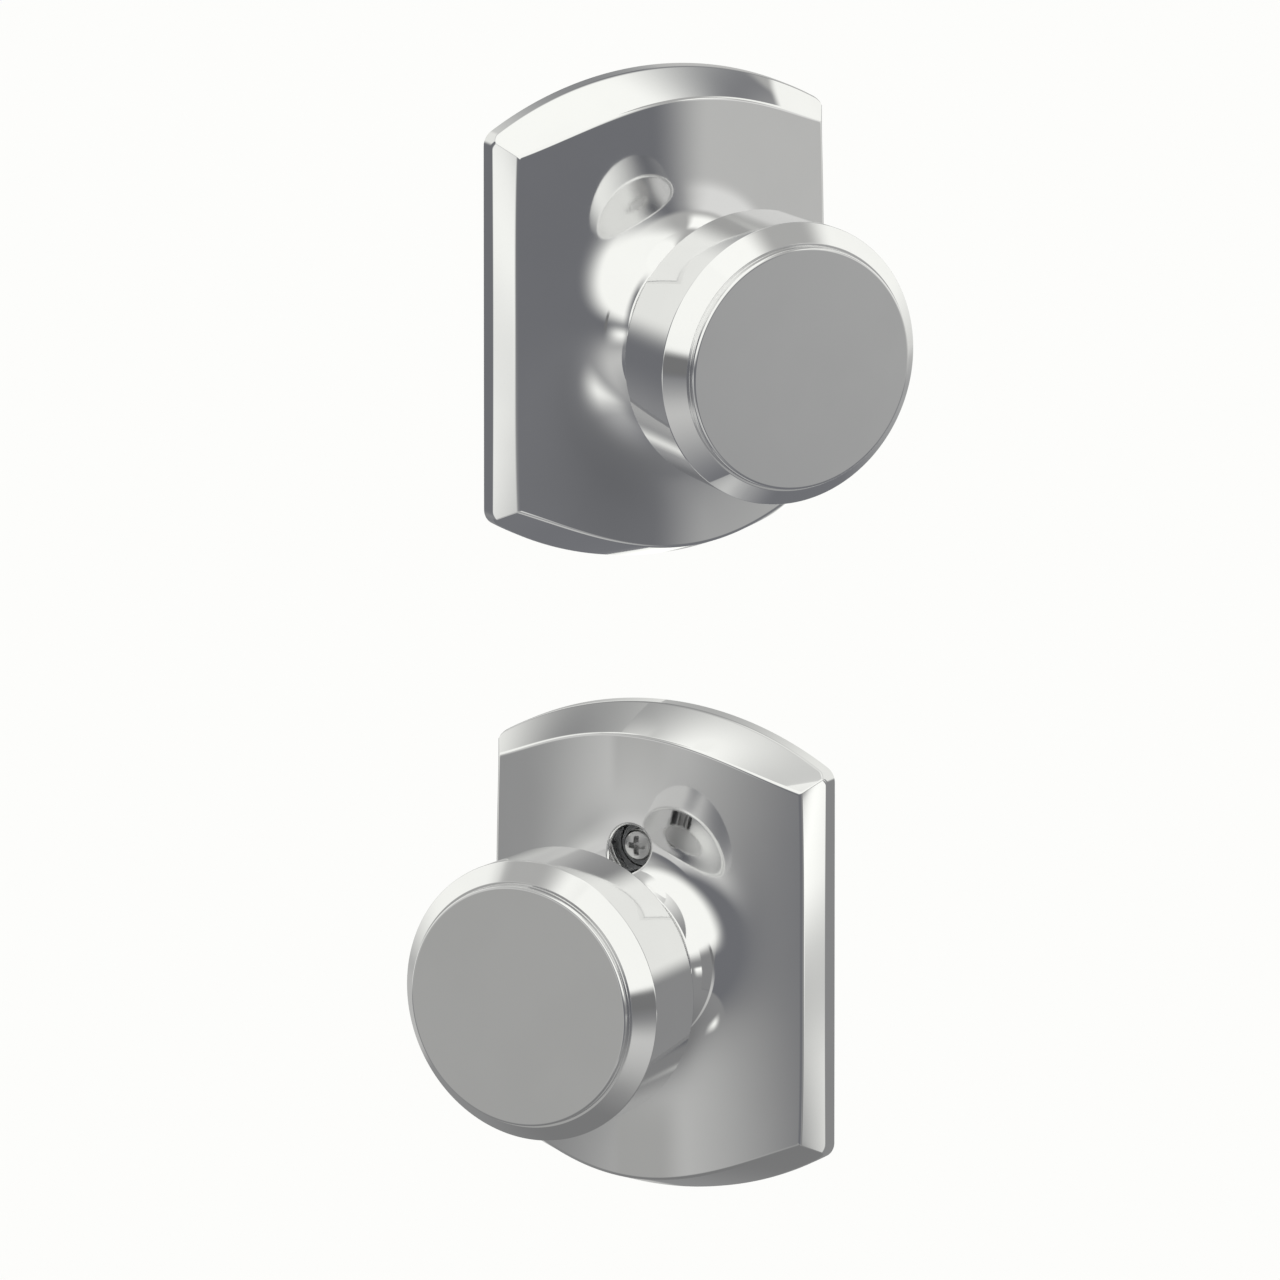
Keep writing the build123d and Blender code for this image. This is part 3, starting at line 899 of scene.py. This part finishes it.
# %% Knob shell and back
KNOB_STEPS = 256
KNOB_SHELL = [
    (0.0, 55.4, 0.0), (21.7, 55.4, 0.5), (21.7, 53.9, 0.12), (22.2, 53.9, 0.12), (25.3, 50.45, 0.45),
    (24.8, 36.0, 0.4), (22.9, 36.0, 0.1), (22.9, 37.0, 0.1), (23.8, 37.0, 0.1), (24.3, 50.05, 0.2),
    (21.8, 52.9, 0.2), (20.7, 52.9, 0.1), (20.7, 54.4, 0.3), (0.0, 54.4, 0.0),
]
NECK_RADIUS = 13.8
NECK_BORE = 12.8
NECK_END = 10.05
BACK_PLATE = 37.0
DISC_RADIUS = 23.75
ROOT_ROUND = 3.0
TOOL_HOLE = 1.6
TOOL_HOLE_HEIGHT = 24.0
HOLE_ROOM = 3.0
HOLE_TOP, HOLE_FOOT = TOOL_HOLE_HEIGHT + HOLE_ROOM, TOOL_HOLE_HEIGHT - HOLE_ROOM
KNOB_BACK = [
    (DISC_RADIUS, 37.5, 0.0), (DISC_RADIUS, BACK_PLATE, 0.1), (NECK_RADIUS, BACK_PLATE, ROOT_ROUND),
    (NECK_RADIUS, HOLE_TOP, 0.0), (NECK_RADIUS, HOLE_FOOT, 0.0), (NECK_RADIUS, NECK_END, 0.1),
    (NECK_BORE, NECK_END, 0.1), (NECK_BORE, HOLE_FOOT, 0.0), (NECK_BORE, HOLE_TOP, 0.0),
    (NECK_BORE, BACK_PLATE + 1, ROOT_ROUND + 1), (DISC_RADIUS, BACK_PLATE + 1, 0.1),
    (DISC_RADIUS, 37.5, 0.0),
]
UNDERSIDE_REACH = 8.0
HOLE_REACH = 3.6
HOLE_STEPS = 32
SATIN_FROM = 16.0
SATIN_BAND = 0.2


def neck_skin(radius, way):
    """A point of the neck's underside, seen from below: across and along."""
    def skin_at(across, along):
        down = -sqrt(radius**2 - across**2)
        normal = Vector((across, down, 0.0)) / radius
        return Vector((across, down, along)), normal * way

    return skin_at


def drill_tool_hole(heap):
    """The small hole under the neck, where a pin presses the catch."""
    def underside(radius):
        return {
            v for v, p in enumerate(heap.points)
            if p.y < 0 and abs(p.xy.length - radius) < TINY and abs(p.x) < UNDERSIDE_REACH
            and abs(p.z - TOOL_HOLE_HEIGHT) < HOLE_ROOM + TINY
        }

    def flat(point):
        return Vector((point.x, point.z))

    centre = (0.0, TOOL_HOLE_HEIGHT)

    def cut(radius, way):
        return heap.open_hole(
            underside(radius), flat, neck_skin(radius, way), centre,
            TOOL_HOLE, HOLE_REACH, HOLE_STEPS, facing=way,
        )

    outer = cut(NECK_RADIUS, 1)
    inner = cut(NECK_BORE, -1)
    for v in outer + inner:
        out = flat(heap.points[v]) - Vector(centre)
        lean = Vector((-out.x, 0.0, -out.y)) / TOOL_HOLE
        heap.normals[v] = (heap.normals[v] + lean).normalized()
    heap.ring_pair(outer, inner)


for side in SIDES:
    shell = Heap()
    shell.turned(KNOB_SHELL, steps=KNOB_STEPS)
    shell.place(
        side + "_knob_front", side, polished_chrome, "polished_chrome",
        side + "_knob", side + "_knob_shell",
    )
    back = Heap()
    back.turned(KNOB_BACK[::-1], steps=KNOB_STEPS, closed=True, fine=8)
    drill_tool_hole(back)
    back.second = {
        v for v, p in enumerate(back.points)
        if abs(p.z - BACK_PLATE) < SATIN_BAND and p.xy.length > SATIN_FROM
    }
    back.second_finish = satin_chrome
    back.place(
        side + "_knob_neck", side, polished_chrome, "polished_chrome",
        side + "_knob", side + "_knob_back",
    )

# %% [markdown]
# The screws
#
# A machine screw is rolled, so its thread is one long ridge that climbs round the shank. The point on
# the ridge depends only on height and angle together, so rings of points with one wave in that sum
# make the whole helix. The head is a low dome with a cross pressed into it, shaped as a height over the
# disc, dome minus cross.

# %% Screw with a rolled thread
SCREW_RADIUS = 1.75
THREAD_PITCH = 0.79
THREAD_DEPTH = 0.42
THREAD_TIP = -28.0
THREAD_END = 0.8
THREAD_STEPS = 36
ROWS_PER_TURN = 10
SHANK_NECK = 1.55
NECK_SINK = 0.3
HEAD_RADIUS = 2.9
HEAD_TOP = 12.7
HEAD_SIDE = 11.5
HEAD_SEAT = 10.3
HEAD_EASE = 0.1
HEAD_STEPS = 144
DOME_RINGS = 39
DOME_EDGE = 2.86
CROSS_DEPTH = 1.5
CROSS_HALF_WIDTH = 0.42
CROSS_REACH = 1.75


def ease(value, low, high):
    """A soft step from 0 to 1."""
    share = min(1.0, max(0.0, (value - low) / (high - low)))
    return share * share * (3 - 2 * share)


def thread_radius(angle, height):
    """Radius of the rolled thread; it fades out at both ends."""
    wave = (height / THREAD_PITCH - angle / (2 * pi)) % 1.0
    ridge = ease(abs(2 * wave - 1), 0.12, 0.88)
    fade = ease(height, THREAD_TIP + 0.1, THREAD_TIP + 1.6)
    crest = SCREW_RADIUS - 0.5 * (1 - ease(height, THREAD_TIP, THREAD_TIP + 0.6))
    end = ease(THREAD_END - height, 0.0, 0.8)
    return crest - THREAD_DEPTH * (1 - ridge * fade) * end - 0.2 * (1 - end)


def head_height(x, y):
    """Height of the screw's head with its pressed cross."""
    out = sqrt(x * x + y * y)
    dome = HEAD_TOP - 0.55 * (out / HEAD_RADIUS) ** 2 - 0.5 * ease(out, 2.4, 2.9)

    def arm(u, v):
        side = 1 - ease(abs(v), CROSS_HALF_WIDTH - 0.12, CROSS_HALF_WIDTH + 0.12)
        return side * (1 - ease(abs(u), CROSS_REACH - 0.7, CROSS_REACH + 0.1))

    return dome - CROSS_DEPTH * max(arm(x, y), arm(y, x))


def screw_piece(name, up):
    """One screw: dome with cross, head, plain neck, then the threaded shank."""
    heap = Heap()
    rings = []

    def ring(radius_at, height, steps=HEAD_STEPS, normal=None):
        made = []
        for k in range(steps):
            angle = -2 * pi * k / steps
            ray = spoke(angle)
            radius = radius_at(angle) if callable(radius_at) else radius_at
            spot = ray * radius
            level = height(spot.x, spot.y) if callable(height) else height
            facing = normal(angle, spot) if normal else ray
            made.append(heap.add(Vector((spot.x, up + spot.y, level)), facing))
        return made

    def head_normal(angle, spot):
        return height_normal(head_height, spot.x, spot.y)

    middle = heap.add(Vector((0.0, up, head_height(0.0, 0.0))), UP)
    for k in range(1, DOME_RINGS + 1):
        rings.append(ring(DOME_EDGE * k / DOME_RINGS, head_height, normal=head_normal))
    first = rings[0]
    count = len(first)
    heap.faces += [(middle, first[(k + 1) % count], first[k]) for k in range(count)]
    rings += [
        ring(HEAD_RADIUS, HEAD_SIDE),
        ring(HEAD_RADIUS, HEAD_SEAT + HEAD_EASE),
        ring(HEAD_RADIUS - HEAD_EASE, HEAD_SEAT, normal=lambda a, p: DOWN),
        ring(SHANK_NECK + HEAD_EASE, HEAD_SEAT, normal=lambda a, p: DOWN),
        ring(SHANK_NECK, HEAD_SEAT - HEAD_EASE),
        ring(SHANK_NECK, THREAD_END + HEAD_EASE),
    ]
    for first, second in zip(rings, rings[1:]):
        heap.ring_pair(first, second)

    steps = THREAD_STEPS
    rows = int((THREAD_END - THREAD_TIP) / THREAD_PITCH * ROWS_PER_TURN)
    wires = []
    for k in range(rows + 1):
        height = THREAD_END + (THREAD_TIP - THREAD_END) * k / rows

        def slope(angle, spot, height=height):
            ray = spoke(angle)
            side = Vector((-sin(angle), cos(angle), 0.0))
            radius = thread_radius(angle, height)
            turn = thread_radius(angle + STEP, height) - thread_radius(angle - STEP, height)
            rise = thread_radius(angle, height + STEP) - thread_radius(angle, height - STEP)
            return (ray - (side * turn / radius + UP * rise) / (2 * STEP)).normalized()

        wires.append(ring(lambda a, h=height: thread_radius(a, h), height, steps, slope))
    for first, second in zip(wires, wires[1:]):
        heap.ring_pair(first, second)
    top = heap.add(Vector((0.0, up, THREAD_END)), UP)
    tip = heap.add(Vector((0.0, up, THREAD_TIP)), DOWN)
    heap.faces += [(top, wires[0][(k + 1) % steps], wires[0][k]) for k in range(steps)]
    heap.faces += [(wires[-1][k], wires[-1][(k + 1) % steps], tip) for k in range(steps)]
    base = rings[-1]
    foot = heap.add(Vector((0.0, up, THREAD_END - NECK_SINK)), DOWN)
    heap.faces += [(base[k], base[(k + 1) % count], foot) for k in range(count)]
    screw_steel = FINISH_OF_SLOT["screw_steel"]
    heap.place(name + "_threaded", "inside", screw_steel, "screw_steel", "set_body", name)


screw_piece("inside_screw_upper", FIXING_UP)
screw_piece("inside_screw_lower", -FIXING_UP)

# %% [markdown]
# A light tent for each half
#
# Polished metal has no look of its own: it shows what stands round it. A product photographer wraps
# such a piece in a tent of glowing cloth and dark cards. Area lamps would do for a few panels. Here
# each half gets its own tent, a large ball that only mirrors see, and a small plain ball of the same
# cloth round the other half, so that neither mirrors its twin. Light linking keeps each tent to its own
# half, as if the two had been shot one by one.

# %% Tent helpers
TENT_RADIUS = 2.4
TENT_TURN = CAMERA_AZIMUTH + pi
SCREEN_EYE = Vector((10.0, 38.0, 10.0)) * MM
SCREEN_RADIUS = 56.0 * MM
SCREEN_MIDDLE = Vector((0.0, 0.0, 5.0)) * MM
TENT_MIDDLE = Vector((0.0, 0.0, 20.0)) * MM
TWIN = {"outside": "inside", "inside": "outside"}
CREAM = (1.0, 1.006, 0.968)
PALE = (1.0, 1.0, 0.98)
PLAIN = (0.995, 1.0, 1.005)
COOL = (0.965, 0.985, 1.06)


class Tent:
    """The cloth of one light tent, built up panel by panel from the back."""

    def __init__(self, name, mirrored):
        self.finish, self.wire = new_finish(name)
        w = self.wire
        place = w.node("ShaderNodeTexCoord", output=3)
        aim = w.node("ShaderNodeVectorMath", {"operation": "NORMALIZE"}, {0: place})
        parts = w.node("ShaderNodeSeparateXYZ", sockets={0: aim}).socket.node
        x, y, z = (Wire(w.tree, out) for out in parts.outputs)
        side = 1.0 if mirrored else -1.0
        self.azimuth = w.maths("ARCTAN2", x * side, y) * (180 / pi)
        self.height = w.maths("ARCSINE", z) * (180 / pi)
        self.cloth = None

    def band(self, value, low, high, soft):
        """A window on one angle with two soft edges; None leaves that end open."""
        mask = 1.0
        if low is not None:
            mask = value.rise(low - soft[0] / 2, low + soft[0] / 2)
        if high is not None:
            mask = mask * (1 - value.rise(high - soft[1] / 2, high + soft[1] / 2))
        return mask

    def panel(self, level, tint=PLAIN, azimuth=None, height=None, soft=(6, 6, 6, 6), lean=0.0):
        """Lay one panel over what is there. Level is what the chrome then shows."""
        glow = tuple(level / CHROME_LEVEL * t for t in tint) + (1.0,)
        light = self.wire.node("ShaderNodeEmission", sockets={"Color": glow, "Strength": 1.0})
        if self.cloth is None:
            self.cloth = light
            return
        mask = 1.0
        if azimuth:
            around = self.azimuth - self.height * lean if lean else self.azimuth
            mask = mask * self.band(around, *azimuth, soft[:2])
        if height:
            mask = mask * self.band(self.height, *height, soft[2:])
        layers = {0: mask, 1: self.cloth, 2: light}
        self.cloth = self.wire.node("ShaderNodeMixShader", sockets=layers)

    def stand(self, name, radius, finish, spot, shift=Matrix()):
        """Stand a ball of cloth whose glow is seen from a spot; only this tent's half sees it."""
        ball = bmesh.new()
        bmesh.ops.create_uvsphere(ball, u_segments=64, v_segments=32, radius=radius, matrix=shift)
        mesh = bpy.data.meshes.new(name)
        ball.to_mesh(mesh)
        ball.free()
        mesh.materials.append(finish)
        cloth = put(name, mesh)
        cloth.location = spot
        cloth.rotation_euler = (0.0, 0.0, TENT_TURN)
        cloth.visible_camera = False
        cloth.visible_shadow = False
        cloth.light_linking.receiver_collection = self.seen_by

    def hang(self, side):
        """Hang the tent round one half and a screen, clear from within, round the other."""
        self.seen_by = bpy.data.collections.new(side + "_half")
        for piece in pieces_of(side):
            self.seen_by.objects.link(piece)
        screen = self.finish.copy()
        tree = screen.node_tree
        cloth = Wire(tree, tree.nodes[self.cloth.socket.node.name].outputs[0])
        within = cloth.node("ShaderNodeNewGeometry", output=6)
        clear = cloth.node("ShaderNodeBsdfTransparent")
        both = cloth.node("ShaderNodeMixShader", sockets={0: within, 1: cloth, 2: clear})
        close_finish(cloth, both)
        clear = self.wire.node("ShaderNodeBsdfTransparent")
        both = self.wire.node("ShaderNodeAddShader", sockets={0: self.cloth, 1: clear})
        close_finish(self.wire, both)
        self.stand(side + "_tent", TENT_RADIUS, self.finish, PLACE[side] @ TENT_MIDDLE)

        other = TWIN[side]
        towards = copysign(1.0, PLACE[other].translation.z - PLACE[side].translation.z)
        spot = PLACE[side] @ Vector((SCREEN_EYE[0], towards * SCREEN_EYE[1], SCREEN_EYE[2]))
        shift = Matrix.Rotation(-TENT_TURN, 4, "Z") @ Matrix.Translation(
            PLACE[other] @ SCREEN_MIDDLE - spot
        )
        self.stand(side + "_screen", SCREEN_RADIUS, screen, spot, shift)


def pieces_of(side):
    """The frame's nodes and the made pieces of one half."""
    return [n for name, n in frame["nodes"].items() if name.startswith(side)] + made_for[side]


print("tent radius", TENT_RADIUS, "m")

# %% [markdown]
# Panels of both tents
#
# A panel is a soft-edged box in two angles. Height is measured up from the level. Azimuth 0 is the way
# to the camera, and it grows to the side that the half faces. Level is how bright the chrome then
# looks. After level and tint come the spans of azimuth and of height, where None is an open end. Each
# panel was tuned until the picture matched the photograph.

# %% Panels of the outside half
tent = Tent("outside_tent_cloth", mirrored=False)
lay = tent.panel
lay(0.15, COOL)
lay(0.31, PLAIN, height=(None, -26), soft=(1, 1, 1, 33))
lay(0.08, COOL, (16, 32), (-60, -16), soft=(60, 60, 20, 4), lean=-0.58)
lay(0.16, COOL, height=(None, -30), soft=(1, 1, 1, 15))
lay(0.51, PALE, (-82, -26), (-57, -21), soft=(2, 60, 60, 30), lean=-0.4)
lay(0.45, PALE, (55, None), (-17, 21), soft=(18, 1, 11, 27), lean=-0.09)
lay(0.66, PALE, (60, 110), (-2, 38), soft=(14, 12, 6, 9), lean=0.09)
lay(0.92, CREAM, height=(42, None), soft=(1, 1, 32, 1))
lay(0.38, PALE, (-1, 133), (19, None), soft=(60, 2, 8, 1), lean=0.75)
lay(0.90, CREAM, (-75, 28), (1, 57), soft=(16, 32, 14, 2), lean=0.17)
lay(0.95, CREAM, (55, 86), (26, 50), soft=(9, 8, 14, 11), lean=0.19)
lay(0.88, CREAM, (112, 153), (-9, 48), soft=(16, 2, 29, 17), lean=-0.05)
lay(0.75, CREAM, (-194, -125), (-1, 39), soft=(27, 20, 15, 7), lean=1.2)
lay(0.99, CREAM, (-81, -53), (-16, -7), soft=(16, 37, 15, 12), lean=-0.19)
lay(0.96, CREAM, (159, None), (-34, -18), soft=(17, 1, 17, 3), lean=-0.22)
lay(0.93, CREAM, (11, 24), (-44, -25), soft=(23, 18, 31, 11), lean=0.42)
lay(0.39, PALE, (52, 62), (-19, -21), soft=(11, 6, 4, 10), lean=0.07)
lay(0.64, PALE, (18, 42), (-42, -34), soft=(15, 41, 39, 27), lean=0.31)
lay(0.165, PLAIN, (-39.5, -35), (-10, 2.5), soft=(2, 2, 6, 6))
tent.hang("outside")

# %% Panels of the inside half
tent = Tent("inside_tent_cloth", mirrored=True)
lay = tent.panel
lay(0.23, PLAIN)
lay(0.15, COOL, (-26, 27), (-29, 25), soft=(3, 30, 2, 12), lean=1.2)
lay(0.18, PLAIN, height=(None, -48), soft=(1, 1, 1, 38))
lay(0.50, PALE, (49, 87), (-31, -7), soft=(42, 43, 57, 8), lean=1.2)
lay(0.90, CREAM, (46, None), (7, 18), soft=(5, 1, 52, 2), lean=-0.08)
lay(0.54, PALE, (72, 131), (8, 40), soft=(60, 6, 8, 6), lean=-0.46)
lay(0.94, CREAM, height=(52, None), soft=(1, 1, 60, 1))
lay(0.86, CREAM, (-131, -86), (68, None), soft=(17, 25, 5, 1), lean=-0.48)
lay(0.39, PALE, (62, 116), (45, None), soft=(60, 10, 15, 1), lean=-0.03)
lay(0.90, CREAM, (-96, -16), (0, 68), soft=(2, 31, 12, 3), lean=1.0)
lay(0.54, PALE, (19, 68), (-6, 18), soft=(14, 19, 9, 2), lean=0.28)
lay(0.87, CREAM, (113, 144), (-13, 48), soft=(11, 27, 6, 5), lean=0.05)
lay(0.75, CREAM, (-188, -114), (2, 49), soft=(24, 6, 8, 8), lean=0.74)
lay(1.05, CREAM, (-77, -63), (-15, -10), soft=(8, 2, 10, 3), lean=-0.21)
lay(0.22, PLAIN, (-60, -36), (-29, 2), soft=(3, 2, 2, 12), lean=0.07)
lay(0.43, PALE, (145, None), (-22, -4), soft=(2, 1, 4, 6), lean=-0.47)
lay(0.92, CREAM, (1, 9), (-40, -34), soft=(9, 9, 9, 5), lean=0.21)
lay(0.34, PALE, (46, 64), (-22, -10), soft=(10, 4, 8, 6))
lay(0.52, PALE, (-39, -33.5), (-54, -20), soft=(2, 2, 60, 18), lean=0.1)
lay(0.165, PLAIN, (-39.5, -35), (-10, 2.5), soft=(2, 2, 6, 6))
tent.hang("inside")

# %% [markdown]
# Floor and background
#
# The picture's background is a plain, nearly white sweep with no shadow in view. A wide pale floor well
# below the set does this. A soft lamp that lights only the floor keeps it even, and the chrome doesn't
# see the floor, since the tents already hold what it should mirror. The same white stands behind it.
# The paper is clear from below, so that the set can be looked at from there too.

# %% Floor, lamp and backdrop colour
FLOOR_DEPTH = -0.35
FLOOR_HALF = 30.0
PAPER_WHITE = (0.982, 0.982, 0.966)
PAPER_ALBEDO = 0.9
PAPER_CLOUDS = 0.002
LAMP_SPREAD = radians(40.0)

paper, w = new_finish("floor_paper")
paper_tone = noise(w, 3.0, 2.0).mix(
    tuple(PAPER_ALBEDO * c * (1 - PAPER_CLOUDS) for c in PAPER_WHITE) + (1.0,),
    tuple(PAPER_ALBEDO * c * (1 + PAPER_CLOUDS) for c in PAPER_WHITE) + (1.0,),
)
paper_top = w.node("ShaderNodeBsdfDiffuse", sockets={"Color": paper_tone, "Roughness": 0.0})
from_below = w.node("ShaderNodeNewGeometry", output=6)
clear = w.node("ShaderNodeBsdfTransparent")
close_finish(w, w.node("ShaderNodeMixShader", sockets={0: from_below, 1: paper_top, 2: clear}))
floor_mesh = bpy.data.meshes.new("floor")
corners = [(-FLOOR_HALF, -FLOOR_HALF), (FLOOR_HALF, -FLOOR_HALF)]
corners += [(FLOOR_HALF, FLOOR_HALF), (-FLOOR_HALF, FLOOR_HALF)]
floor_mesh.from_pydata([(x, y, FLOOR_DEPTH) for x, y in corners], [], [(0, 1, 2, 3)])
floor_mesh.materials.append(paper)
floor = put("floor", floor_mesh)
floor.visible_glossy = False
floor.visible_diffuse = False

lamp_data = bpy.data.lights.new("floor_lamp", "SUN")
lamp_data.energy = pi / PAPER_ALBEDO
lamp_data.angle = LAMP_SPREAD
lamp = put("floor_lamp", lamp_data)
floor_only = bpy.data.collections.new("floor_only")
floor_only.objects.link(floor)
lamp.light_linking.receiver_collection = floor_only

world = bpy.data.worlds.new("backdrop")
scene.world = world
world.use_nodes = True
world.node_tree.nodes.clear()
w = Wire(world.node_tree)
seen_by_camera = w.node("ShaderNodeLightPath", output=0)
dark = w.node("ShaderNodeBackground", sockets={"Color": grey(0.0), "Strength": 0.0})
white = w.node("ShaderNodeBackground", sockets={"Color": PAPER_WHITE + (1.0,), "Strength": 1.0})
both = w.node("ShaderNodeMixShader", sockets={0: seen_by_camera, 1: dark, 2: white})
w.node("ShaderNodeOutputWorld", sockets={"Surface": both})
print("floor at", FLOOR_DEPTH, "m")
